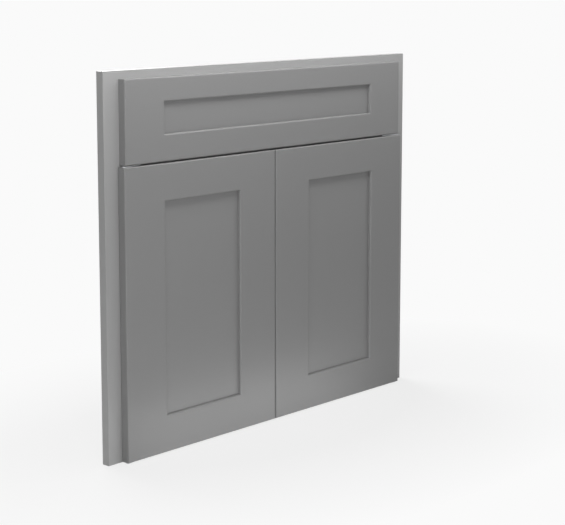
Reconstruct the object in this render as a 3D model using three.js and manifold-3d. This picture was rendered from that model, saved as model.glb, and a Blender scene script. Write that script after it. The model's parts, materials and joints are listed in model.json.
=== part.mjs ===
// Sink base front: a face frame that carries a fixed false drawer front and a pair of framed doors.
//
// Everything is in millimetres. X runs to the right, the front faces -Y and Z is up. Pieces are laid
// out from the face frame's bottom left corner, with Y = 0 on the frame's front face, and the whole
// front is then shifted so that the origin is the middle of the left stile's outer edge.

import * as THREE from 'three';
import { mergeVertices } from 'three/addons/utils/BufferGeometryUtils.js';
import Module from 'manifold-3d';

const wasm = await Module();
wasm.setup();

// ---------------------------------------------------------------- driving dimensions

// Face frame
const frameWidth = 914.4;
const frameHeight = 774.7;
const frameThickness = 19.05;
const frameStileWidth = 41.3;
const frameTopRailHeight = 38.1;
const frameMiddleRailHeight = 38.1;
const frameBottomRailHeight = 38.1;

// False drawer front, screwed flat against the frame and lapping over its stiles
const falseFrontHeight = 166.4;
const falseFrontThickness = 19.05;
const falseFrontSideOverlay = 2.8;
const falseFrontTopReveal = 16.2;
const falseFrontStileWidth = 103;
const falseFrontTopRailHeight = 48.5;
const falseFrontBottomRailHeight = 54;

// Pair of doors, lapping over the stiles and held a bumper's thickness off the frame
const doorThickness = 19.05;
const doorSideOverlay = 8.3;
const doorBottomReveal = 2;
const doorTopGap = 3.2;
const doorCentreGap = 3.2;
const doorStandOff = 2.4;
const doorStileWidth = 106;
const doorRailHeight = 76;

// Framed construction, alike on the false front and the doors
const panelThickness = 6.35;
const panelSetback = 7.5;
const grooveDepth = 10;
const innerEdgeRadius = 3.5;
const outerEdgeRadius = 2.8;

// Mortise and tenon joints between the frame's rails and its stiles
const tenonLength = 25;
const tenonThickness = 8;
const tenonShoulder = 5;

// Screws that hold the false front from behind, through the top and middle rails
const frontScrewEndDistance = 141.5;
const frontScrewShank = 2;
const frontScrewHead = 4;
const frontScrewHeadHeight = 2.2;
const frontScrewLength = 31.8;

// Pivot hinges
const pivotInset = 6;
const pivotFromDoorBack = 10.6;
const pivotPinRadius = 2.5;
const pivotPinReach = 8;
const pivotHeadRadius = 3.5;
const pivotHeadHeight = 0.8;
const pivotRunningClearance = 0.1;
const bushingRadius = 3.5;
const bushingLength = 10;
const bushingProud = 0.22;
const hingePlateThickness = 1.6;
const hingePlateLength = 40;
const hingePlateLegHeight = 18;
const hingePlateShelfDepth = 9;
const hingePlateNoseRadius = 4.4;
const hingePlateRailMargin = 3;
const hingePlateDoorClearance = 0.3;
const hingeScrewNear = 10;
const hingeScrewFar = 30;
const hingeScrewShank = 1.6;
const hingeScrewHead = 2.9;
const hingeScrewHeadHeight = 1.3;
const hingeScrewLength = 15.9;

// Double magnetic catch under the middle rail, with a strike plate on each door
const catchBodyWidth = 46;
const catchBodyHeight = 14;
const catchBodyDepth = 18;
const catchEarLength = 11;
const catchEarThickness = 3;
const catchEarSetback = 3;
const catchSlotLength = 7;
const catchFaceSetback = 0.4;
const catchScrewShank = 1.6;
const catchScrewHead = 3.1;
const catchScrewHeadHeight = 1.7;
const catchScrewLength = 12.7;
const catchScrewFromFront = 11;
const magnetWidth = 12;
const magnetHeight = 8;
const magnetDepth = 14;
const magnetOffset = 14;
const strikeWidth = 16;
const strikeHeight = 12;
const strikeThickness = 1;
const strikeScrewShank = 1.3;
const strikeScrewHead = 2.2;
const strikeScrewHeadHeight = 0.8;
const strikeScrewLength = 9;

// Bumpers on the backs of the doors
const bumperRadius = 4.75;
const bumperEdgeDistance = 12;

// Cross recess of a screw, in shares of its head's radius
const recessReach = 0.55;
const recessHalfWidth = 0.12;
const recessDepth = 0.35;

// Fits, and how far a cutting shape runs past the face that it cuts
const seatGap = 0.3;
const slideGap = 0.15;
const touchGap = 0.1;
const overrun = 1;

// Smoothness of the round work
const edgeSteps = 5;
const noseSteps = 12;
const screwSides = 12;
const pivotSides = 24;

// ---------------------------------------------------------------- derived layout

const falseFrontSideReveal = frameStileWidth - falseFrontSideOverlay;
const falseFrontWidth = frameWidth - 2 * falseFrontSideReveal;
const falseFrontTop = frameHeight - falseFrontTopReveal;
const falseFrontBottom = falseFrontTop - falseFrontHeight;
const doorTop = falseFrontBottom - doorTopGap;
const doorHeight = doorTop - doorBottomReveal;
const doorSideReveal = frameStileWidth - doorSideOverlay;
const doorWidth = (frameWidth - 2 * doorSideReveal - doorCentreGap) / 2;
const doorBackY = -doorStandOff;

const middleRailCentre = (falseFrontBottom + doorTop) / 2;
const topRailSpan = [frameHeight - frameTopRailHeight, frameHeight];
const middleRailSpan = [
  middleRailCentre - frameMiddleRailHeight / 2,
  middleRailCentre + frameMiddleRailHeight / 2,
];
const bottomRailSpan = [0, frameBottomRailHeight];
const railEnds = [frameStileWidth, frameWidth - frameStileWidth];

const pivotX = doorSideReveal + pivotInset;
const pivotY = doorBackY - pivotFromDoorBack;
const hingeLegStart = Math.max(pivotX + pivotInset, frameStileWidth + hingePlateRailMargin);

const strikeCentreFromRail = catchBodyHeight / 2;
const strikeFaceY = doorBackY + strikeThickness;
const magnetFaceY = strikeFaceY + touchGap;

// ---------------------------------------------------------------- shape helpers

// A closed geometry as a solid, with its shared corners merged and its faces turned outwards.
function solidFrom(geometry) {
  const bare = geometry.clone();
  bare.deleteAttribute('normal');
  bare.deleteAttribute('uv');
  const merged = mergeVertices(bare);
  const triangles = [];
  const index = merged.index.array;
  for (let i = 0; i < index.length; i += 3) {
    const [a, b, c] = index.slice(i, i + 3);
    if (a !== b && b !== c && c !== a) triangles.push(a, b, c);
  }
  if (signedVolume(merged.attributes.position, triangles) < 0) triangles.reverse();
  return new wasm.Manifold(new wasm.Mesh({
    numProp: 3,
    vertProperties: Float32Array.from(merged.attributes.position.array),
    triVerts: Uint32Array.from(triangles),
  }));
}

function signedVolume(position, triangles) {
  const corners = [new THREE.Vector3(), new THREE.Vector3(), new THREE.Vector3()];
  let volume = 0;
  for (let i = 0; i < triangles.length; i += 3) {
    corners.forEach((corner, k) => corner.fromBufferAttribute(position, triangles[i + k]));
    volume += corners[0].dot(corners[1].clone().cross(corners[2])) / 6;
  }
  return volume;
}

function geometryFrom(solid) {
  const mesh = solid.getMesh();
  const geometry = new THREE.BufferGeometry();
  geometry.setAttribute('position', new THREE.BufferAttribute(mesh.vertProperties, 3));
  geometry.setIndex(new THREE.BufferAttribute(mesh.triVerts, 1));
  return geometry;
}

function cut(base, tools) {
  const solid = tools.reduce((rest, tool) => rest.subtract(solidFrom(tool)), solidFrom(base));
  return geometryFrom(solid);
}

function join(pieces) {
  return geometryFrom(pieces.map(solidFrom).reduce((sum, piece) => sum.add(piece)));
}

function common(first, second) {
  return geometryFrom(solidFrom(first).intersect(solidFrom(second)));
}

// A box between two values on each axis.
function block([x0, x1], [y0, y1], [z0, z1]) {
  const geometry = new THREE.BoxGeometry(x1 - x0, y1 - y0, z1 - z0);
  return geometry.translate((x0 + x1) / 2, (y0 + y1) / 2, (z0 + z1) / 2);
}

// Prisms of an outline: (x, y) carried along Z, and (z, y) carried along X.
function prismAlongZ(outline, [z0, z1], curveSegments = edgeSteps) {
  const options = { depth: z1 - z0, bevelEnabled: false, curveSegments };
  return new THREE.ExtrudeGeometry(outline, options).translate(0, 0, z0);
}

function prismAlongX(outline, [x0, x1]) {
  const prism = prismAlongZ(outline, [0, x1 - x0]);
  return prism.rotateY(-Math.PI / 2).translate(x1, 0, 0);
}

// A round solid about the Y axis, from [radius, y] pairs that start and end on the axis.
function turned(profile, sides) {
  const points = profile.map(([radius, along]) => new THREE.Vector2(radius, along));
  return new THREE.LatheGeometry(points, sides);
}

// Lays a solid made about the Y axis along a direction, with its zero at a point.
function aim(geometry, point, direction) {
  const up = new THREE.Vector3(0, 1, 0);
  const turn = new THREE.Quaternion().setFromUnitVectors(up, direction.clone().normalize());
  return geometry.clone().applyQuaternion(turn).translate(point.x, point.y, point.z);
}

// ---------------------------------------------------------------- materials

const paint = () => new THREE.MeshStandardMaterial({ color: '#8d8d8c', roughness: 0.45, metalness: 0 });
const steel = () => new THREE.MeshStandardMaterial({ color: '#b4b6b8', roughness: 0.35, metalness: 1 });
const brass = () => new THREE.MeshStandardMaterial({ color: '#b5a36a', roughness: 0.35, metalness: 1 });
const ferrite = () => new THREE.MeshStandardMaterial({ color: '#2e2e30', roughness: 0.7, metalness: 0 });
const plastic = () => new THREE.MeshStandardMaterial({ color: '#d8d7d2', roughness: 0.5, metalness: 0 });
const rubber = () => new THREE.MeshStandardMaterial({ color: '#c9cac8', roughness: 0.6, metalness: 0 });

function addPart(group, name, geometry, material) {
  material.flatShading = true;
  const mesh = new THREE.Mesh(geometry, material);
  mesh.name = name;
  group.add(mesh);
}

// ---------------------------------------------------------------- screws

// Each screw is made about the Y axis with its head's bearing level at zero and its point at +Y.
// solid is the screw and bore is the space it takes out of the wood, seatGap larger all round.

function crossRecess(headTop, headRadius) {
  const reach = [-recessReach * headRadius, recessReach * headRadius];
  const width = [-recessHalfWidth * headRadius, recessHalfWidth * headRadius];
  const depth = [headTop - overrun, headTop + recessDepth * headRadius];
  return [block(reach, depth, width), block(width, depth, reach)];
}

function flatHeadScrew(shank, head, headHeight, length) {
  const solid = turned([
    [0, 0],
    [head, 0],
    [shank, headHeight],
    [shank, length - shank],
    [0, length],
  ], screwSides);
  const bore = turned([
    [0, -overrun],
    [head + seatGap, -overrun],
    [head + seatGap, 0],
    [shank + seatGap, headHeight],
    [shank + seatGap, length + seatGap],
    [0, length + seatGap],
  ], screwSides);
  return { solid: cut(solid, crossRecess(0, head)), bore };
}

function panHeadScrew(shank, head, headHeight, length) {
  const solid = turned([
    [0, -headHeight],
    [0.7 * head, -headHeight],
    [head, -0.4 * headHeight],
    [head, 0],
    [shank, 0],
    [shank, length - shank],
    [0, length],
  ], screwSides);
  const bore = turned([
    [0, -overrun],
    [shank + seatGap, -overrun],
    [shank + seatGap, length + seatGap],
    [0, length + seatGap],
  ], screwSides);
  return { solid: cut(solid, crossRecess(-headHeight, head)), bore };
}

const hingeScrew = flatHeadScrew(hingeScrewShank, hingeScrewHead, hingeScrewHeadHeight, hingeScrewLength);
const strikeScrew = flatHeadScrew(
  strikeScrewShank,
  strikeScrewHead,
  strikeScrewHeadHeight,
  strikeScrewLength,
);
const frontScrew = flatHeadScrew(frontScrewShank, frontScrewHead, frontScrewHeadHeight, frontScrewLength);
const catchScrew = panHeadScrew(catchScrewShank, catchScrewHead, catchScrewHeadHeight, catchScrewLength);

const forward = new THREE.Vector3(0, -1, 0);
const backward = new THREE.Vector3(0, 1, 0);
const upward = new THREE.Vector3(0, 0, 1);
const downward = new THREE.Vector3(0, 0, -1);

const placedBores = (screw, places) => places.map(({ point, way }) => aim(screw.bore, point, way));

// One mesh for each screw, named for its place.
function addScrews(group, screw, places) {
  for (const { name, point, way } of places) {
    addPart(group, name, aim(screw.solid, point, way), steel());
  }
}

// ---------------------------------------------------------------- where the screws go

// The false front is held where it overlaps the top rail and the middle rail, at a set
// distance from its own ends.
const frontScrewInset = falseFrontSideReveal + frontScrewEndDistance;
const frontScrewXs = { left: frontScrewInset, right: frameWidth - frontScrewInset };
const frontScrewZs = {
  top: (topRailSpan[0] + falseFrontTop) / 2,
  bottom: (falseFrontBottom + middleRailSpan[1]) / 2,
};
const frontScrewPlaces = Object.entries(frontScrewZs).flatMap(([level, z]) => (
  Object.entries(frontScrewXs).map(([side, x]) => ({
    name: `false_front_screw_${level}_${side}`,
    point: new THREE.Vector3(x, frameThickness, z),
    way: forward,
  }))
));

// Hinge plates lie over the ends of the doors. outer is the plate's face away from the door, and
// rise points from the door's end to the plate. mirror turns a left-hand X into a right-hand one.
const mirror = (side, x) => (side === 'left' ? x : frameWidth - x);
const hingeEnds = {
  top: { doorEnd: doorTop, rise: 1 },
  bottom: { doorEnd: doorBottomReveal, rise: -1 },
};

function hingeAt(side, end) {
  const { doorEnd, rise } = hingeEnds[end];
  const outer = doorEnd + rise * (hingePlateDoorClearance + hingePlateThickness);
  const screwLevel = outer - rise * (hingePlateThickness + hingePlateLegHeight) / 2;
  const screws = [['outer', hingeScrewNear], ['inner', hingeScrewFar]].map(([row, along]) => ({
    name: `hinge_screw_${side}_${end}_${row}`,
    point: new THREE.Vector3(mirror(side, hingeLegStart + along), -hingePlateThickness, screwLevel),
    way: backward,
  }));
  return { side, end, rise, outer, screws };
}

const hinges = ['left', 'right'].flatMap((side) => ['top', 'bottom'].map((end) => hingeAt(side, end)));
const hingeScrewPlaces = hinges.flatMap((hinge) => hinge.screws);

const catchCentreX = frameWidth / 2;
const catchTop = middleRailSpan[0];
const catchFrontY = magnetFaceY + catchFaceSetback;
const catchScrewPlaces = [['left', -1], ['right', 1]].map(([side, way]) => ({
  name: `catch_screw_${side}`,
  point: new THREE.Vector3(
    catchCentreX + way * (catchBodyWidth + catchEarLength) / 2,
    catchFrontY + catchScrewFromFront,
    catchTop - catchEarThickness,
  ),
  way: upward,
}));

// ---------------------------------------------------------------- face frame

// A rail with a tenon on each end, and the same tenons a fit larger as the stiles' mortises.
function frameRail([low, high]) {
  const through = [0, frameThickness];
  const middle = frameThickness / 2;
  const tenonY = [middle - tenonThickness / 2, middle + tenonThickness / 2];
  const tenonX = [railEnds[0] - tenonLength, railEnds[1] + tenonLength];
  const tenonZ = [low + tenonShoulder, high - tenonShoulder];
  const body = block(railEnds, through, [low, high]);
  const tenons = block(tenonX, tenonY, tenonZ);
  const mortises = block(
    [tenonX[0] - seatGap, tenonX[1] + seatGap],
    [tenonY[0] - slideGap, tenonY[1] + slideGap],
    [tenonZ[0] - slideGap, tenonZ[1] + slideGap],
  );
  return { board: join([body, tenons]), mortises };
}

function addFaceFrame(group) {
  const through = [0, frameThickness];
  const stiles = {
    left: block([0, railEnds[0]], through, [0, frameHeight]),
    right: block([railEnds[1], frameWidth], through, [0, frameHeight]),
  };
  const rails = {
    top: frameRail(topRailSpan),
    middle: frameRail(middleRailSpan),
    bottom: frameRail(bottomRailSpan),
  };
  const mortises = Object.values(rails).map((rail) => rail.mortises);
  const bores = [
    ...placedBores(frontScrew, frontScrewPlaces),
    ...placedBores(hingeScrew, hingeScrewPlaces),
    ...placedBores(catchScrew, catchScrewPlaces),
  ];
  for (const [side, stile] of Object.entries(stiles)) {
    addPart(group, `frame_stile_${side}`, cut(stile, mortises), paint());
  }
  for (const [level, rail] of Object.entries(rails)) {
    addPart(group, `frame_rail_${level}`, cut(rail.board, bores), paint());
  }
}

// ---------------------------------------------------------------- framed fronts

// Outline across a board: front face at y = 0, back at the thickness, both front corners rounded.
function roundedFrontOutline(width, thickness, radius) {
  const outline = new THREE.Shape();
  outline.moveTo(0, thickness);
  outline.lineTo(0, radius);
  outline.absarc(radius, radius, radius, Math.PI, 1.5 * Math.PI, false);
  outline.lineTo(width - radius, 0);
  outline.absarc(width - radius, radius, radius, 1.5 * Math.PI, 2 * Math.PI, false);
  outline.lineTo(width, thickness);
  return outline;
}

// A slab whose four front edges are rounded and mitred at the corners.
function roundedSlab(width, height, thickness, radius) {
  const across = prismAlongZ(roundedFrontOutline(width, thickness, radius), [0, height]);
  const upright = prismAlongX(roundedFrontOutline(height, thickness, radius), [0, width]);
  return common(across, upright);
}

// Outline of an opening that widens to the front with a round on each side.
function flaredOutline([low, high], radius) {
  const outline = new THREE.Shape();
  outline.moveTo(low - radius, -radius);
  outline.lineTo(low - radius, 0);
  outline.absarc(low - radius, radius, radius, 1.5 * Math.PI, 2 * Math.PI, false);
  outline.lineTo(high, radius);
  outline.absarc(high + radius, radius, radius, Math.PI, 1.5 * Math.PI, false);
  outline.lineTo(high + radius, -radius);
  return outline;
}

// The space that rounds off the inner front edges of a framed front, mitred at its corners.
function flaredOpening(spanX, spanZ, radius) {
  const widened = ([low, high]) => [low - radius, high + radius];
  const across = prismAlongZ(flaredOutline(spanX, radius), widened(spanZ));
  const upright = prismAlongX(flaredOutline(spanZ, radius), widened(spanX));
  return common(across, upright);
}

// Two stiles, two rails and a flat panel, in the front's own frame: X and Z from its bottom left
// corner and Y from its front face. The stiles are grooved all the way along, and the rails' stub
// tenons fill the ends of the grooves. bores are cut from every board.
function framedFront({ width, height, thickness, stileWidth, topRailHeight, bottomRailHeight, bores }) {
  const openX = [stileWidth, width - stileWidth];
  const openZ = [bottomRailHeight, height - topRailHeight];
  const panelY = [panelSetback, panelSetback + panelThickness];
  const grooveY = [panelY[0] - slideGap, panelY[1] + slideGap];
  const grooveX = [openX[0] - grooveDepth, openX[1] + grooveDepth];
  const grooveZ = [openZ[0] - grooveDepth, openZ[1] + grooveDepth];
  const inGrooveX = [grooveX[0] + seatGap, grooveX[1] - seatGap];
  const inGrooveZ = [grooveZ[0] + seatGap, grooveZ[1] - seatGap];

  const slab = roundedSlab(width, height, thickness, outerEdgeRadius);
  const opening = flaredOpening(openX, openZ, innerEdgeRadius);
  const stileGroove = block(grooveX, grooveY, [-seatGap, height + seatGap]);
  const railGroove = block(grooveX, grooveY, grooveZ);

  const stile = (spanX) => {
    const board = common(slab, block(spanX, [0, thickness], [0, height]));
    return cut(board, [stileGroove, opening, ...bores]);
  };
  const rail = (spanZ) => {
    const board = common(slab, block(openX, [0, thickness], spanZ));
    const tenons = block(inGrooveX, panelY, spanZ);
    return cut(join([board, tenons]), [railGroove, opening, ...bores]);
  };
  return {
    stileLow: stile([0, openX[0]]),
    stileHigh: stile([openX[1], width]),
    railTop: rail([openZ[1], height]),
    railBottom: rail([0, openZ[0]]),
    panel: block(inGrooveX, panelY, inGrooveZ),
  };
}

// ---------------------------------------------------------------- false drawer front

function addFalseFront(group) {
  const bores = placedBores(frontScrew, frontScrewPlaces);
  bores.forEach((bore) => bore.translate(-group.position.x, -group.position.y, -group.position.z));
  const front = framedFront({
    width: falseFrontWidth,
    height: falseFrontHeight,
    thickness: falseFrontThickness,
    stileWidth: falseFrontStileWidth,
    topRailHeight: falseFrontTopRailHeight,
    bottomRailHeight: falseFrontBottomRailHeight,
    bores,
  });
  addPart(group, 'false_front_stile_left', front.stileLow, paint());
  addPart(group, 'false_front_stile_right', front.stileHigh, paint());
  addPart(group, 'false_front_rail_top', front.railTop, paint());
  addPart(group, 'false_front_rail_bottom', front.railBottom, paint());
  addPart(group, 'false_front_panel', front.panel, paint());
}

// ---------------------------------------------------------------- pivot hinges

// The pin's head lies in a counterbore in the plate, and the pin runs on into the door's bushing.
function pivotPin(extra) {
  const reach = hingePlateThickness + hingePlateDoorClearance + pivotPinReach;
  return turned([
    [0, 0],
    [pivotHeadRadius + extra, 0],
    [pivotHeadRadius + extra, pivotHeadHeight],
    [pivotPinRadius + extra, pivotHeadHeight],
    [pivotPinRadius + extra, reach],
    [0, reach],
  ], pivotSides);
}

function pivotPoint(hinge) {
  return new THREE.Vector3(mirror(hinge.side, pivotX), pivotY, hinge.outer);
}

// The plate seen from above: a shelf along the frame that narrows to a round nose over the pivot.
function hingeShelfOutline(side) {
  const at = (x) => mirror(side, x);
  const outline = new THREE.Shape();
  outline.moveTo(at(hingeLegStart), 0);
  outline.lineTo(at(hingeLegStart + hingePlateLength), 0);
  outline.lineTo(at(hingeLegStart + hingePlateLength), -hingePlateShelfDepth);
  const towardsStile = side === 'left';
  outline.absarc(at(pivotX), pivotY, hingePlateNoseRadius, -0.5 * Math.PI, 0.5 * Math.PI, towardsStile);
  return outline;
}

function sorted(span) {
  return [...span].sort((a, b) => a - b);
}

function hingePlateGeometry(hinge) {
  const { side, outer, rise, screws } = hinge;
  const inner = outer - rise * hingePlateThickness;
  const legEnd = outer - rise * (hingePlateThickness + hingePlateLegHeight);
  const legX = [mirror(side, hingeLegStart), mirror(side, hingeLegStart + hingePlateLength)];
  const shelf = prismAlongZ(hingeShelfOutline(side), sorted([inner, outer]), noseSteps);
  const leg = block(sorted(legX), [-hingePlateThickness, 0], sorted([outer, legEnd]));
  const pinHole = aim(pivotPin(pivotRunningClearance), pivotPoint(hinge), rise > 0 ? downward : upward);
  return cut(join([shelf, leg]), [pinHole, ...placedBores(hingeScrew, screws)]);
}

function addHinges(group) {
  for (const hinge of hinges) {
    const name = `${hinge.side}_${hinge.end}`;
    const pin = aim(pivotPin(0), pivotPoint(hinge), hinge.rise > 0 ? downward : upward);
    addPart(group, `hinge_plate_${name}`, hingePlateGeometry(hinge), steel());
    addPart(group, `hinge_pin_${name}`, pin, steel());
  }
  addScrews(group, hingeScrew, hingeScrewPlaces);
}

// ---------------------------------------------------------------- magnetic catch

// A slot through an ear, with round ends, so that the catch can be set forward or back.
function slotAlongY({ x, y, z }, radius, length) {
  const tall = 2 * catchEarThickness;
  const endOffset = length / 2 - radius;
  const rounds = [-endOffset, endOffset].map((offset) => (
    turned([[0, 0], [radius, 0], [radius, tall], [0, tall]], screwSides)
      .rotateX(Math.PI / 2)
      .translate(x, y + offset, z - catchEarThickness / 2)
  ));
  const straight = block(
    [x - radius, x + radius],
    [y - endOffset, y + endOffset],
    [z - catchEarThickness / 2, z - catchEarThickness / 2 + tall],
  );
  return join([...rounds, straight]);
}

function addCatch(group) {
  const bodyX = [catchCentreX - catchBodyWidth / 2, catchCentreX + catchBodyWidth / 2];
  const bodyY = [catchFrontY, catchFrontY + catchBodyDepth];
  const bodyZ = [catchTop - catchBodyHeight, catchTop];
  const ears = block(
    [bodyX[0] - catchEarLength, bodyX[1] + catchEarLength],
    [bodyY[0] + catchEarSetback, bodyY[1]],
    [catchTop - catchEarThickness, catchTop],
  );
  const magnetMiddle = catchTop - strikeCentreFromRail;
  const magnetZ = [magnetMiddle - magnetHeight / 2, magnetMiddle + magnetHeight / 2];
  const magnetY = [magnetFaceY, magnetFaceY + magnetDepth];
  const magnetXs = { left: catchCentreX - magnetOffset, right: catchCentreX + magnetOffset };
  const magnetBlock = (x, extra) => block(
    [x - magnetWidth / 2 - extra, x + magnetWidth / 2 + extra],
    [magnetY[0] - extra, magnetY[1] + extra],
    [magnetZ[0] - extra, magnetZ[1] + extra],
  );
  const pockets = Object.values(magnetXs).map((x) => magnetBlock(x, slideGap));
  const housing = join([block(bodyX, bodyY, bodyZ), ears]);
  const slotRadius = catchScrewShank + seatGap;
  const slots = catchScrewPlaces.map(({ point }) => slotAlongY(point, slotRadius, catchSlotLength));
  addPart(group, 'catch_housing', cut(housing, [...pockets, ...slots]), plastic());

  for (const [side, x] of Object.entries(magnetXs)) {
    addPart(group, `catch_magnet_${side}`, magnetBlock(x, 0), ferrite());
  }
  addScrews(group, catchScrew, catchScrewPlaces);
}

// ---------------------------------------------------------------- doors

function bushingGeometry() {
  const pinBore = pivotPinRadius + pivotRunningClearance;
  const boreDepth = bushingProud + pivotPinReach + seatGap;
  return turned([
    [0, boreDepth],
    [pinBore, boreDepth],
    [pinBore, 0],
    [bushingRadius, 0],
    [bushingRadius, bushingLength],
    [0, bushingLength],
  ], pivotSides);
}

function bumperGeometry() {
  const height = doorStandOff - touchGap;
  const softening = 0.4 * height;
  return turned([
    [0, 0],
    [bumperRadius, 0],
    [bumperRadius, height - softening],
    [bumperRadius - softening, height],
    [0, height],
  ], pivotSides);
}

// A door in its own frame: X and Z from its bottom left corner, Y from its front face. The hinge
// stile is on the left of the left door and on the right of the right door.
function addDoor(group, side) {
  const at = (fromHingeEdge) => (side === 'left' ? fromHingeEdge : doorWidth - fromHingeEdge);
  const prefix = `${side}_door`;
  const doorPivotY = doorThickness - pivotFromDoorBack;
  const ends = { top: { z: doorHeight, way: downward }, bottom: { z: 0, way: upward } };

  const bushingSeat = turned([
    [0, -seatGap],
    [bushingRadius + seatGap, -seatGap],
    [bushingRadius + seatGap, bushingLength],
    [0, bushingLength],
  ], pivotSides);
  const seats = Object.values(ends).map(({ z, way }) => (
    aim(bushingSeat, new THREE.Vector3(at(pivotInset), doorPivotY, z), way)
  ));

  const magnetX = catchCentreX + (side === 'left' ? -magnetOffset : magnetOffset) - group.position.x;
  const strikeZ = catchTop - strikeCentreFromRail - group.position.z;
  const strikeBack = doorThickness + strikeThickness;
  const strikeScrewPlaces = [{
    name: `${prefix}_strike_screw`,
    point: new THREE.Vector3(magnetX, strikeBack, strikeZ),
    way: forward,
  }];
  const strikeBores = placedBores(strikeScrew, strikeScrewPlaces);

  const front = framedFront({
    width: doorWidth,
    height: doorHeight,
    thickness: doorThickness,
    stileWidth: doorStileWidth,
    topRailHeight: doorRailHeight,
    bottomRailHeight: doorRailHeight,
    bores: [...seats, ...strikeBores],
  });
  const [hingeStile, lockStile] = side === 'left'
    ? [front.stileLow, front.stileHigh]
    : [front.stileHigh, front.stileLow];
  addPart(group, `${prefix}_hinge_stile`, hingeStile, paint());
  addPart(group, `${prefix}_lock_stile`, lockStile, paint());
  addPart(group, `${prefix}_rail_top`, front.railTop, paint());
  addPart(group, `${prefix}_rail_bottom`, front.railBottom, paint());
  addPart(group, `${prefix}_panel`, front.panel, paint());

  for (const [end, { z, way }] of Object.entries(ends)) {
    const mouth = new THREE.Vector3(at(pivotInset), doorPivotY, z).addScaledVector(way, -bushingProud);
    addPart(group, `${prefix}_bushing_${end}`, aim(bushingGeometry(), mouth, way), brass());
  }

  const strike = block(
    [magnetX - strikeWidth / 2, magnetX + strikeWidth / 2],
    [doorThickness, strikeBack],
    [strikeZ - strikeHeight / 2, strikeZ + strikeHeight / 2],
  );
  addPart(group, `${prefix}_strike`, cut(strike, strikeBores), steel());
  addScrews(group, strikeScrew, strikeScrewPlaces);

  const bumperX = at(doorWidth - bumperEdgeDistance);
  const bumperZs = {
    top: (middleRailSpan[0] + doorTop) / 2 - group.position.z,
    bottom: (doorBottomReveal + bottomRailSpan[1]) / 2 - group.position.z,
  };
  for (const [end, z] of Object.entries(bumperZs)) {
    const foot = new THREE.Vector3(bumperX, doorThickness, z);
    addPart(group, `${prefix}_bumper_${end}`, aim(bumperGeometry(), foot, backward), rubber());
  }
}

// ---------------------------------------------------------------- assembly

const sinkBaseFront = new THREE.Group();
sinkBaseFront.position.set(0, -frameThickness / 2, -frameHeight / 2);

addFaceFrame(sinkBaseFront);

const falseFront = new THREE.Group();
falseFront.position.set(falseFrontSideReveal, -falseFrontThickness, falseFrontBottom);
sinkBaseFront.add(falseFront);
addFalseFront(falseFront);
addScrews(sinkBaseFront, frontScrew, frontScrewPlaces);

addHinges(sinkBaseFront);
addCatch(sinkBaseFront);

for (const side of ['left', 'right']) {
  const door = new THREE.Group();
  const doorX = side === 'left' ? doorSideReveal : frameWidth - doorSideReveal - doorWidth;
  door.position.set(doorX, doorBackY - doorThickness, doorBottomReveal);
  sinkBaseFront.add(door);
  addDoor(door, side);
}

const assembly = new THREE.Group();
assembly.add(sinkBaseFront);

export default assembly;
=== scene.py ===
"""Looks of the sink base front: painted boards, fine hardware, a pale studio and the camera."""

import json
import math

import bmesh
import bpy
from mathutils import Matrix, Vector

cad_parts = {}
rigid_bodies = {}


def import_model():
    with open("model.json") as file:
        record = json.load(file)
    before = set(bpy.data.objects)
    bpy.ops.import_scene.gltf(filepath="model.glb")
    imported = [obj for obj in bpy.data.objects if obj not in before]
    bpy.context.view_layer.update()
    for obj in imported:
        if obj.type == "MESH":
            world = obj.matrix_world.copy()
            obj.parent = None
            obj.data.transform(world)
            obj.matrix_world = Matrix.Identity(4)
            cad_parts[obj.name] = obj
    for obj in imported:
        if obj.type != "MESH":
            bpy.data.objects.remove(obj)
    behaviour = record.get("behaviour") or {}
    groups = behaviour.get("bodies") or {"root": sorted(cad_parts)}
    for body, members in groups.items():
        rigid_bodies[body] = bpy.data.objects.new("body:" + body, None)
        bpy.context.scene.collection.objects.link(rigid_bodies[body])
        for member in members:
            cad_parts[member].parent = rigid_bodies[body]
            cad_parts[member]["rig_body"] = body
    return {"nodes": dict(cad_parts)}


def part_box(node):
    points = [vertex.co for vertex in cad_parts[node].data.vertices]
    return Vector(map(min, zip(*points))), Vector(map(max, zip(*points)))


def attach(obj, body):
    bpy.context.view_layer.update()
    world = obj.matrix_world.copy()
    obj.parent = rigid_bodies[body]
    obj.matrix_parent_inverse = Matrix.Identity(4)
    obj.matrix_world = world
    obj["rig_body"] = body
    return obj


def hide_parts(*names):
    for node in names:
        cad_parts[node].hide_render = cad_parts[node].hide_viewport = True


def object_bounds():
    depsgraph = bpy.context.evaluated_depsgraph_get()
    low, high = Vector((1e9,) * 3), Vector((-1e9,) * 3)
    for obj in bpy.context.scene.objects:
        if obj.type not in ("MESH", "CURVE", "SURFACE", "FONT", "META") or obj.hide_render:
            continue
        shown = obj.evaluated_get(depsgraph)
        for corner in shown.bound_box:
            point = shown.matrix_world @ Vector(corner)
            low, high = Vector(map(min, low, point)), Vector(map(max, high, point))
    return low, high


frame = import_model()
cad_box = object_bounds()

MM = 0.001

# ---------------------------------------------------------------- places, from the CAD

# The left and right stile of each family of boards
STILES = {
    "frame": ("frame_stile_left", "frame_stile_right"),
    "false_front": ("false_front_stile_left", "false_front_stile_right"),
    "left_door": ("left_door_hinge_stile", "left_door_lock_stile"),
    "right_door": ("right_door_lock_stile", "right_door_hinge_stile"),
}
# Planes where stiles meet rails, along X. Edges that lie in them stay sharp.
JOINT_PLANES = {
    family: (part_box(left)[1].x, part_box(right)[0].x) for family, (left, right) in STILES.items()
}

# ---------------------------------------------------------------- dimensions, repeated from the CAD

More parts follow.
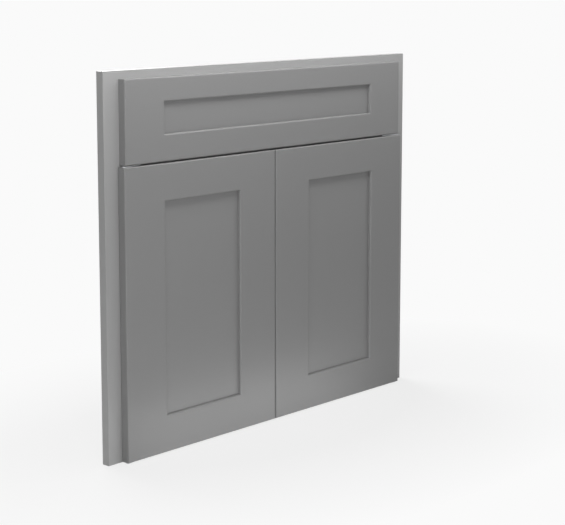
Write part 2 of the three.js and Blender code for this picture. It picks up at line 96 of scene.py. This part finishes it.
# Radii and lengths in mm
FLAT_HEAD_SCREWS = {
    "false_front_screw": {"shank": 2.0, "head": 4.0, "head_height": 2.2, "length": 31.8},
    "hinge_screw": {"shank": 1.6, "head": 2.9, "head_height": 1.3, "length": 15.9},
    "strike_screw": {"shank": 1.3, "head": 2.2, "head_height": 0.8, "length": 9.0},
}
CATCH_SCREW = {"shank": 1.6, "head": 3.1, "head_height": 1.7, "length": 12.7}

# Turned pieces, as (radius, height) pairs in mm
PIN_PROFILE = [
    (0, 0), (3.3, 0), (3.5, 0.2), (3.5, 0.8), (2.5, 0.8), (2.5, 9.3), (1.9, 9.9), (0, 9.9),
]
BUSHING_PROFILE = [
    (0, 8.52), (2.6, 8.52), (2.6, 0.3), (2.8, 0), (3.3, 0), (3.5, 0.2), (3.5, 9.7), (3.2, 10), (0, 10),
]
BUMPER_RADIUS = 4.75
BUMPER_RIM = 0.7
BUMPER_CROWN = 1.6

# ---------------------------------------------------------------- fine shaping

# Widths of the easing on straight edges, and the shortest edges that have it
BOARD_EASE = 0.7 * MM
HINGE_PLATE_EASE = 0.25 * MM
STRIKE_EASE = 0.2 * MM
MAGNET_EASE = 0.3 * MM
HOUSING_EASE = 0.5 * MM
SHORTEST_BOARD_EDGE = 20 * MM
SHORTEST_PART_EDGE = 3 * MM
SHORTEST_EDGE_PER_EASE = 4

ON_PLANE = 1e-5
WELD_DISTANCE = 1e-6
FLAT_ANGLE = math.radians(0.5)
SHARP_ANGLE = math.radians(35)
CORNER_ANGLE = math.radians(50)
TURNED_SIDES = 48
SCREW_SIDES = 36

# Lengths in mm, and the share of a pan head's height that is its straight rim
FLAT_HEAD_RIM = 0.12
FLAT_HEAD_PLAIN_SHANK = 2
PAN_HEAD_PLAIN_SHANK = 1.5
PAN_HEAD_RIM_SHARE = 0.3

# Shares of a screw's shank radius
SCREW_POINT = 2
THREAD_PITCH = 0.75
THREAD_DEPTH = 0.22

# Flank steepness, where more leaves a wider root, and rows of vertices to a turn
THREAD_FLANK = 1.6
ROWS_PER_TURN = 6

# Shares of a screw's head radius, the taper of the cutter and its reach above the head in mm
RECESS_REACH = 0.55
RECESS_HALF_WIDTH = 0.12
RECESS_DEPTH = 0.35
RECESS_TAPER = 0.45
RECESS_OVERRUN = 0.5

# ---------------------------------------------------------------- mesh helpers


def mesh_from(bm, name):
    """A mesh with smooth faces, and with sharp edges where its faces turn."""
    mesh = bpy.data.meshes.new(name)
    bmesh.ops.recalc_face_normals(bm, faces=bm.faces)
    for face in bm.faces:
        face.smooth = True
    bm.to_mesh(mesh)
    bm.free()
    mesh.set_sharp_from_angle(angle=SHARP_ANGLE)
    return mesh


def plain_copy(node):
    """A CAD node's mesh as welded faces, with its triangles joined into flat faces."""
    source = frame["nodes"][node].data
    bm = bmesh.new()
    vertices = [bm.verts.new(vertex.co) for vertex in source.vertices]
    for polygon in source.polygons:
        bm.faces.new([vertices[i] for i in polygon.vertices])
    bmesh.ops.remove_doubles(bm, verts=bm.verts, dist=WELD_DISTANCE)
    bmesh.ops.dissolve_limit(
        bm, angle_limit=FLAT_ANGLE, verts=bm.verts, edges=bm.edges, delimit={"NORMAL"}
    )
    return bm


def ease(bm, width, chosen, segments=2):
    """Rounds off the chosen sharp edges."""
    edges = [
        edge
        for edge in bm.edges
        if edge.is_manifold
        and edge.calc_face_angle() > CORNER_ANGLE
        and edge.calc_length() > SHORTEST_EDGE_PER_EASE * width
        and chosen(edge)
    ]
    bmesh.ops.bevel(
        bm,
        geom=edges,
        offset=width,
        segments=segments,
        profile=0.5,
        affect="EDGES",
        clamp_overlap=True,
    )


def turned(profile, sides=TURNED_SIDES, thread=None):
    """A solid about Z from (radius, height) pairs in mm, from one end of the axis to the other.

    thread is (start, end, pitch, depth): between these heights the surface winds inwards."""
    start, end, pitch, depth = thread or (0, 0, 1, 0)
    rows = []
    for (r0, z0), (r1, z1) in zip(profile, profile[1:]):
        steps = 1
        if thread and z0 >= start and z1 <= end:
            steps = max(1, round((z1 - z0) / pitch * ROWS_PER_TURN))
        rows += [(r0 + (r1 - r0) * k / steps, z0 + (z1 - z0) * k / steps) for k in range(steps)]
    rows.append(profile[-1])

    bm = bmesh.new()
    rings = []
    for radius, z in rows:
        if radius == 0:
            rings.append([bm.verts.new((0, 0, z * MM))])
            continue
        ring = []
        for side in range(sides):
            angle = 2 * math.pi * side / sides
            r = radius
            if thread and start < z < end:
                phase = (z / pitch - side / sides) % 1
                r -= depth * min(1, abs(2 * phase - 1) * THREAD_FLANK)
            ring.append(bm.verts.new((r * math.cos(angle) * MM, r * math.sin(angle) * MM, z * MM)))
        rings.append(ring)
    for low, high in zip(rings, rings[1:]):
        for side in range(sides):
            after = (side + 1) % sides
            corners = [low[side % len(low)], low[after % len(low)]]
            corners += [high[after % len(high)], high[side % len(high)]]
            unique = list(dict.fromkeys(corners))
            if len(unique) > 2:
                bm.faces.new(unique)
    return bm


def prism(outline, narrow_height, wide_height, taper):
    """A solid over an outline of (x, y) pairs in mm, scaled by a taper at its narrow end."""
    bm = bmesh.new()
    narrow = [bm.verts.new((x * taper * MM, y * taper * MM, narrow_height * MM)) for x, y in outline]
    wide = [bm.verts.new((x * MM, y * MM, wide_height * MM)) for x, y in outline]
    bm.faces.new(narrow)
    bm.faces.new(wide)
    for i in range(len(outline)):
        j = (i + 1) % len(outline)
        bm.faces.new([narrow[i], narrow[j], wide[j], wide[i]])
    return bm


def carved(base, tool, name):
    """The mesh of one bmesh solid less another."""
    pieces = []
    for bm in (base, tool):
        bmesh.ops.recalc_face_normals(bm, faces=bm.faces)
        mesh = bpy.data.meshes.new(name)
        bm.to_mesh(mesh)
        bm.free()
        piece = bpy.data.objects.new(name, mesh)
        bpy.context.scene.collection.objects.link(piece)
        pieces.append(piece)
    solid, cutter = pieces
    boolean = solid.modifiers.new("carve", "BOOLEAN")
    boolean.operation = "DIFFERENCE"
    boolean.object = cutter
    bpy.context.view_layer.update()
    evaluated = solid.evaluated_get(bpy.context.evaluated_depsgraph_get())
    result = bpy.data.meshes.new_from_object(evaluated)
    for piece in pieces:
        bpy.data.objects.remove(piece)
    bm = bmesh.new()
    bm.from_mesh(result)
    return mesh_from(bm, name)


def aimed(point, direction):
    """The place of a piece made about +Z, laid along a direction with its zero at a point in mm."""
    turn = Vector((0, 0, 1)).rotation_difference(Vector(direction)).to_matrix().to_4x4()
    return Matrix.Translation(Vector(point) * MM) @ turn


def stand_for(node, mesh, material, place=None):
    """Puts a piece where a CAD node is, riding on the node's body."""
    mesh = mesh.copy()
    mesh.name = f"{node}_detail"
    if place is not None:
        mesh.transform(place)
    piece = bpy.data.objects.new(f"{node}_detail", mesh)
    bpy.context.scene.collection.objects.link(piece)
    mesh.materials.append(material)
    normals = piece.modifiers.new("flat faces", "WEIGHTED_NORMAL")
    normals.keep_sharp = True
    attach(piece, frame["nodes"][node]["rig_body"])
    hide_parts(node)
    return piece


def end_piece(node, mesh, material, direction):
    """A turned piece whose zero is at the near end of its CAD box, seen along its direction."""
    low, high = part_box(node)
    start = (low + high) / 2
    axis = next(i for i in range(3) if direction[i])
    start[axis] = (low if direction[axis] > 0 else high)[axis]
    stand_for(node, mesh, material, aimed(start / MM, direction))


# ---------------------------------------------------------------- material helpers


def add_node(tree, kind, inputs=None, **settings):
    """A shader node with its settings, and with values or sockets on its inputs."""
    node = tree.nodes.new(kind)
    for key, value in settings.items():
        setattr(node, key, value)
    for key, value in (inputs or {}).items():
        if isinstance(value, bpy.types.NodeSocket):
            tree.links.new(value, node.inputs[key])
        else:
            node.inputs[key].default_value = value
    return node


def maths(tree, operation, *values):
    inputs = dict(enumerate(values))
    return add_node(tree, "ShaderNodeMath", inputs, operation=operation).outputs[0]


def new_material(name, **shader_inputs):
    """A material with a Principled shader, its node tree and that shader."""
    material = bpy.data.materials.new(name)
    material.use_nodes = True
    tree = material.node_tree
    shader = tree.nodes["Principled BSDF"]
    for key, value in shader_inputs.items():
        shader.inputs[key].default_value = value
    return material, tree, shader


def object_place(tree):
    return add_node(tree, "ShaderNodeTexCoord").outputs["Object"]


def noise(tree, place, scale, detail=2, stretch=None):
    """Noise between 0 and 1 with a number of features per metre, drawn out by a stretch per axis."""
    if stretch:
        mapping = add_node(tree, "ShaderNodeMapping", {"Vector": place, "Scale": stretch})
        place = mapping.outputs["Vector"]
    inputs = {"Vector": place, "Scale": scale, "Detail": detail, "Roughness": 0.55}
    return add_node(tree, "ShaderNodeTexNoise", inputs).outputs[0]


def spread(tree, factor, low, high, between=(0.3, 0.7)):
    """A factor spread between two values."""
    inputs = {
        "Value": factor,
        "From Min": between[0],
        "From Max": between[1],
        "To Min": low,
        "To Max": high,
    }
    return add_node(tree, "ShaderNodeMapRange", inputs).outputs["Result"]


def tinted(tree, factor, colour, low, high):
    """A colour that goes from one share of itself to another."""
    first, second = ([channel * share for channel in colour] for share in (low, high))
    mix = add_node(tree, "ShaderNodeMixRGB", {0: factor, 1: (*first, 1), 2: (*second, 1)})
    return mix.outputs[0]


def dress(tree, shader, colour, roughness, height, strength, depth):
    """Links a colour, a roughness and a relief with a depth in metres to a Principled shader."""
    inputs = {"Strength": strength, "Distance": depth, "Height": height}
    normal = add_node(tree, "ShaderNodeBump", inputs).outputs["Normal"]
    tree.links.new(colour, shader.inputs["Base Color"])
    tree.links.new(roughness, shader.inputs["Roughness"])
    tree.links.new(normal, shader.inputs["Normal"])


# ---------------------------------------------------------------- materials


def linear(hex_colour):
    """A #rrggbb colour as linear red, green and blue."""
    values = [int(hex_colour[i : i + 2], 16) / 255 for i in (1, 3, 5)]
    return tuple(v / 12.92 if v <= 0.04045 else ((v + 0.055) / 1.055) ** 2.4 for v in values)


def along(grain, share):
    """A stretch that draws noise out along one axis."""
    return tuple(share if axis == grain else 1.0 for axis in "XYZ")


def paint(name, colour, grain):
    """Satin paint over wood whose grain runs along an axis."""
    material, tree, shader = new_material(name)
    place = object_place(tree)
    wood = noise(tree, place, scale=900, detail=3, stretch=along(grain, 0.02))
    peel = noise(tree, place, scale=700, detail=1)
    cloud = noise(tree, place, scale=14, detail=3)
    dress(
        tree,
        shader,
        tinted(tree, cloud, colour, low=0.985, high=1.015),
        spread(tree, cloud, low=0.40, high=0.48),
        maths(tree, "MULTIPLY_ADD", wood, 0.5, peel),
        strength=0.4,
        depth=0.00005,
    )
    return material


def metal(name, colour, roughness, brushed):
    """Plated metal with a fine brushed grain along an axis."""
    material, tree, shader = new_material(name, Metallic=1.0)
    place = object_place(tree)
    lines = noise(tree, place, scale=3500, stretch=along(brushed, 0.05))
    cloud = noise(tree, place, scale=160)
    dress(
        tree,
        shader,
        tinted(tree, cloud, colour, low=0.88, high=1.08),
        spread(tree, lines, low=roughness - 0.06, high=roughness + 0.10),
        lines,
        strength=0.25,
        depth=0.00002,
    )
    return material


def moulded(name, colour, roughness, grain_scale, depth, **shader_inputs):
    """A moulded or pressed material with a fine even grain."""
    material, tree, shader = new_material(name, **shader_inputs)
    place = object_place(tree)
    grain = noise(tree, place, grain_scale)
    cloud = noise(tree, place, scale=60)
    dress(
        tree,
        shader,
        tinted(tree, cloud, colour, low=0.94, high=1.04),
        spread(tree, grain, low=roughness - 0.05, high=roughness + 0.08),
        grain,
        strength=0.4,
        depth=depth,
    )
    return material


DOOR_GREY = linear("#919191")
# The frame has the same satin grey as the doors. Its grey is written lighter here as painted light, so
# the frame reads more brightly lit than the doors beside it.
LIT_FRAME_GREY = linear("#b0b0b0")
paint_for = {
    ("front", "X"): paint("door_paint_across", DOOR_GREY, "X"),
    ("front", "Z"): paint("door_paint_upright", DOOR_GREY, "Z"),
    ("frame", "X"): paint("frame_paint_lit_across", LIT_FRAME_GREY, "X"),
    ("frame", "Z"): paint("frame_paint_lit_upright", LIT_FRAME_GREY, "Z"),
}
zinc = metal("zinc_plate", linear("#c6c8ca"), roughness=0.34, brushed="X")
brass = metal("turned_brass", linear("#c9b072"), roughness=0.30, brushed="Z")
ferrite = moulded("ferrite", linear("#2f2f31"), roughness=0.62, grain_scale=2600, depth=0.00004)
plastic = moulded(
    "white_plastic", linear("#d8d7d2"), roughness=0.42, grain_scale=1900, depth=0.00002
)
rubber = moulded(
    "clear_rubber",
    linear("#d5d6d4"),
    roughness=0.28,
    grain_scale=900,
    depth=0.00002,
    IOR=1.49,
    **{"Transmission Weight": 0.55},
)

# ---------------------------------------------------------------- painted boards


def board(node, family, kind, grain):
    """A painted board with eased edges, apart from those in the joints of its family."""
    planes = JOINT_PLANES[family]

    def free_edge(edge):
        return edge.calc_length() > SHORTEST_BOARD_EDGE and not any(
            all(abs(vertex.co.x - plane) < ON_PLANE for vertex in edge.verts) for plane in planes
        )

    bm = plain_copy(node)
    ease(bm, BOARD_EASE, free_edge)
    stand_for(node, mesh_from(bm, node), paint_for[kind, grain])


for side in ("left", "right"):
    board(f"frame_stile_{side}", "frame", "frame", "Z")
    board(f"false_front_stile_{side}", "false_front", "front", "Z")
for level in ("top", "middle", "bottom"):
    board(f"frame_rail_{level}", "frame", "frame", "X")
for level in ("top", "bottom"):
    board(f"false_front_rail_{level}", "false_front", "front", "X")
board("false_front_panel", "false_front", "front", "X")

for door in ("left_door", "right_door"):
    board(f"{door}_hinge_stile", door, "front", "Z")
    board(f"{door}_lock_stile", door, "front", "Z")
    board(f"{door}_rail_top", door, "front", "X")
    board(f"{door}_rail_bottom", door, "front", "X")
    board(f"{door}_panel", door, "front", "Z")

# ---------------------------------------------------------------- screws


def cross_outline(reach, half_width):
    """The outline of a cross, corner by corner."""
    a, b = reach, half_width
    return [
        (a, -b), (a, b), (b, b), (b, a), (-b, a), (-b, b),
        (-a, b), (-a, -b), (-b, -b), (-b, -a), (b, -a), (b, -b),
    ]


def screw_mesh(name, head_profile, plain_end, top, shank, head, length):
    """A screw with a plain shank, a wound thread, a point and a cross recess in its head."""
    thread_end = length - SCREW_POINT * shank
    profile = [*head_profile, (shank, plain_end), (shank, thread_end), (0, length)]
    thread = (plain_end, thread_end, THREAD_PITCH * shank, THREAD_DEPTH * shank)
    outline = cross_outline(RECESS_REACH * head, RECESS_HALF_WIDTH * head)
    recess = prism(outline, RECESS_DEPTH * head + top, top - RECESS_OVERRUN, RECESS_TAPER)
    return carved(turned(profile, SCREW_SIDES, thread), recess, name)


def flat_head_mesh(name, shank, head, head_height, length):
    profile = [(0, 0), (head - FLAT_HEAD_RIM, 0), (head, FLAT_HEAD_RIM), (shank, head_height)]
    plain_end = head_height + FLAT_HEAD_PLAIN_SHANK
    return screw_mesh(name, profile, plain_end, 0, shank, head, length)


def pan_head_mesh(name, shank, head, head_height, length):
    steps = 6
    dome = []
    for step in range(1, steps + 1):
        angle = math.pi / 2 * step / steps
        rise = PAN_HEAD_RIM_SHARE + (1 - PAN_HEAD_RIM_SHARE) * math.cos(angle)
        dome.append((head * math.sin(angle), -head_height * rise))
    profile = [(0, -head_height), *dome, (head, 0), (shank, 0)]
    return screw_mesh(name, profile, PAN_HEAD_PLAIN_SHANK, -head_height, shank, head, length)


FORWARD, BACKWARD, UPWARD, DOWNWARD = (0, -1, 0), (0, 1, 0), (0, 0, 1), (0, 0, -1)

screw_meshes = {name: flat_head_mesh(name, **sizes) for name, sizes in FLAT_HEAD_SCREWS.items()}
catch_screw_mesh = pan_head_mesh("catch_screw", **CATCH_SCREW)
catch_screw_mesh.transform(Matrix.Translation((0, 0, CATCH_SCREW["head_height"] * MM)))


def screw(node, mesh, direction):
    end_piece(node, mesh, zinc, direction)


for side in ("left", "right"):
    for level in ("top", "bottom"):
        screw(f"false_front_screw_{level}_{side}", screw_meshes["false_front_screw"], FORWARD)
        for row in ("outer", "inner"):
            screw(f"hinge_screw_{side}_{level}_{row}", screw_meshes["hinge_screw"], BACKWARD)
    screw(f"{side}_door_strike_screw", screw_meshes["strike_screw"], FORWARD)
    screw(f"catch_screw_{side}", catch_screw_mesh, UPWARD)

# ---------------------------------------------------------------- hinges, catch and bumpers


def eased_part(node, width, material, segments=2):
    bm = plain_copy(node)
    ease(bm, width, lambda edge: edge.calc_length() > SHORTEST_PART_EDGE, segments)
    stand_for(node, mesh_from(bm, node), material)


def bumper_profile():
    """A disc with a domed face."""
    steps = 8
    dome = []
    for step in range(1, steps):
        angle = math.pi / 2 * step / steps
        height = BUMPER_RIM + BUMPER_CROWN * math.sin(angle)
        dome.append((BUMPER_RADIUS * math.cos(angle), height))
    top = BUMPER_RIM + BUMPER_CROWN
    return [(0, 0), (BUMPER_RADIUS, 0), (BUMPER_RADIUS, BUMPER_RIM), *dome, (0, top)]


pin_mesh = mesh_from(turned(PIN_PROFILE), "hinge_pin")
bushing_mesh = mesh_from(turned(BUSHING_PROFILE), "bushing")
bumper_mesh = mesh_from(turned(bumper_profile()), "bumper")

for side in ("left", "right"):
    for level, inward in (("top", DOWNWARD), ("bottom", UPWARD)):
        eased_part(f"hinge_plate_{side}_{level}", HINGE_PLATE_EASE, zinc)
        end_piece(f"hinge_pin_{side}_{level}", pin_mesh, zinc, inward)
        end_piece(f"{side}_door_bushing_{level}", bushing_mesh, brass, inward)
        end_piece(f"{side}_door_bumper_{level}", bumper_mesh, rubber, BACKWARD)
    eased_part(f"{side}_door_strike", STRIKE_EASE, zinc)
    eased_part(f"catch_magnet_{side}", MAGNET_EASE, ferrite)
eased_part("catch_housing", HOUSING_EASE, plastic, segments=3)

# ---------------------------------------------------------------- studio

BACKGROUND = 0.956
AMBIENT = 0.05

FLOOR_REACH = 60
FLOOR_MIDDLE = (0.45, 0.05)
FLOOR_ALBEDO = 0.82
# Share of the floor that reads as the background at its middle, where the shadow shows
FLOOR_GLOW = 0.8
# The shadow fades out between two distances from the middle, in metres, and sooner along Y
SHADOW_FADE = (0.45, 1.1)
SHADOW_SQUEEZE = (1.0, 1.6, 1.0)

# Place, target, width and height in metres, and power in watts
SOFTBOXES = {
    "front_left": ((-1.2, -1.8, 0.7), (0.45, 0.0, 0.0), (0.8, 0.8), 12.3),
    "overhead_near": ((0.45, -0.25, 0.75), (0.45, -0.1, 0.0), (1.6, 0.25), 4.6),
    "overhead_left": ((0.1, -0.35, 1.0), (0.45, 0.0, 0.2), (1.4, 0.3), 1.37),
    "low_left": ((-0.3, -0.6, -0.375), (0.2, 0.0, -0.3), (0.8, 0.5), 1.5),
    "low_strip": ((0.4, -0.175, -0.365), (0.4, 0.0, -0.365), (0.7, 0.04), 0.2),
    "back": ((0.9, 2.0, 1.3), (0.45, 0.0, 0.0), (1.8, 1.2), 55),
}

CAMERA_PLACE = (-1.8988, -2.2336, 0.5687)
CAMERA_DEGREES = (81.832, 0, -47.181)
CAMERA_LENS = 97.65
CAMERA_SENSOR = 36
CAMERA_SHIFT = -0.12


def seen_rays(tree):
    """1 for rays that the camera, a gloss or a clear material sees, 0 for those that only light."""
    path = add_node(tree, "ShaderNodeLightPath").outputs
    seen = maths(tree, "MAXIMUM", path["Is Camera Ray"], path["Is Glossy Ray"])
    return maths(tree, "MAXIMUM", seen, path["Is Transmission Ray"])


def mixed_output(tree, kind, share, first, second):
    """Links the mix of two shaders to the output of a world or a material."""
    mix = add_node(tree, "ShaderNodeMixShader", {0: share, 1: first, 2: second})
    add_node(tree, kind, {"Surface": mix.outputs[0]})


def white_light(tree, kind, strength):
    return add_node(tree, kind, {"Color": (1, 1, 1, 1), "Strength": strength}).outputs[0]


def pale_world():
    """A world that is seen as the background and lights a little."""
    world = bpy.data.worlds.new("studio")
    world.use_nodes = True
    tree = world.node_tree
    tree.nodes.clear()
    light = white_light(tree, "ShaderNodeBackground", AMBIENT)
    white = white_light(tree, "ShaderNodeBackground", BACKGROUND)
    mixed_output(tree, "ShaderNodeOutputWorld", seen_rays(tree), light, white)
    bpy.context.scene.world = world


def pale_floor(height):
    """A floor that reads as the background, and shows the object's shadow in part near its middle."""
    bm = bmesh.new()
    signs = ((-1, -1), (1, -1), (1, 1), (-1, 1))
    bm.faces.new([bm.verts.new((x * FLOOR_REACH, y * FLOOR_REACH, 0)) for x, y in signs])
    floor = bpy.data.objects.new("floor", mesh_from(bm, "floor"))
    floor.location = (*FLOOR_MIDDLE, height)
    bpy.context.scene.collection.objects.link(floor)
    material = bpy.data.materials.new("floor")
    material.use_nodes = True
    tree = material.node_tree
    tree.nodes.clear()
    albedo = (FLOOR_ALBEDO, FLOOR_ALBEDO, FLOOR_ALBEDO, 1)
    diffuse = add_node(tree, "ShaderNodeBsdfDiffuse", {"Color": albedo}).outputs[0]
    emission = white_light(tree, "ShaderNodeEmission", BACKGROUND)
    footprint = add_node(
        tree, "ShaderNodeVectorMath", {0: object_place(tree), 1: SHADOW_SQUEEZE}, operation="MULTIPLY"
    )
    away = add_node(tree, "ShaderNodeVectorMath", {0: footprint.outputs[0]}, operation="LENGTH")
    fade = spread(tree, away.outputs["Value"], FLOOR_GLOW, 1.0, SHADOW_FADE)
    share = maths(tree, "MULTIPLY", seen_rays(tree), fade)
    mixed_output(tree, "ShaderNodeOutputMaterial", share, diffuse, emission)
    floor.data.materials.append(material)
    return floor


def softbox(name, place, target, size, power):
    """A rectangular lamp that no view shows."""
    light = bpy.data.lights.new(name, "AREA")
    light.shape = "RECTANGLE"
    light.size, light.size_y = size
    light.energy = power
    holder = bpy.data.objects.new(name, light)
    holder.location = place
    towards = Vector(target) - Vector(place)
    holder.rotation_euler = towards.to_track_quat("-Z", "Y").to_euler()
    holder.visible_camera = False
    bpy.context.scene.collection.objects.link(holder)
    return holder


def spare(holder, piece):
    """Keeps a lamp's light off one piece."""
    spared = bpy.data.collections.new(f"{holder.name}_spares")
    spared.objects.link(piece)
    spared.collection_objects[0].light_linking.link_state = "EXCLUDE"
    holder.light_linking.receiver_collection = spared


pale_world()
floor = pale_floor(cad_box[0].z)
lamps = {name: softbox(name, *settings) for name, settings in SOFTBOXES.items()}
spare(lamps["low_strip"], floor)

camera = bpy.data.objects.new("camera", bpy.data.cameras.new("camera"))
camera.location = CAMERA_PLACE
camera.rotation_euler = [math.radians(angle) for angle in CAMERA_DEGREES]
camera.data.lens = CAMERA_LENS
camera.data.sensor_width = CAMERA_SENSOR
camera.data.shift_y = CAMERA_SHIFT
bpy.context.scene.collection.objects.link(camera)
bpy.context.scene.camera = camera
bpy.context.scene.view_settings.view_transform = "Standard"
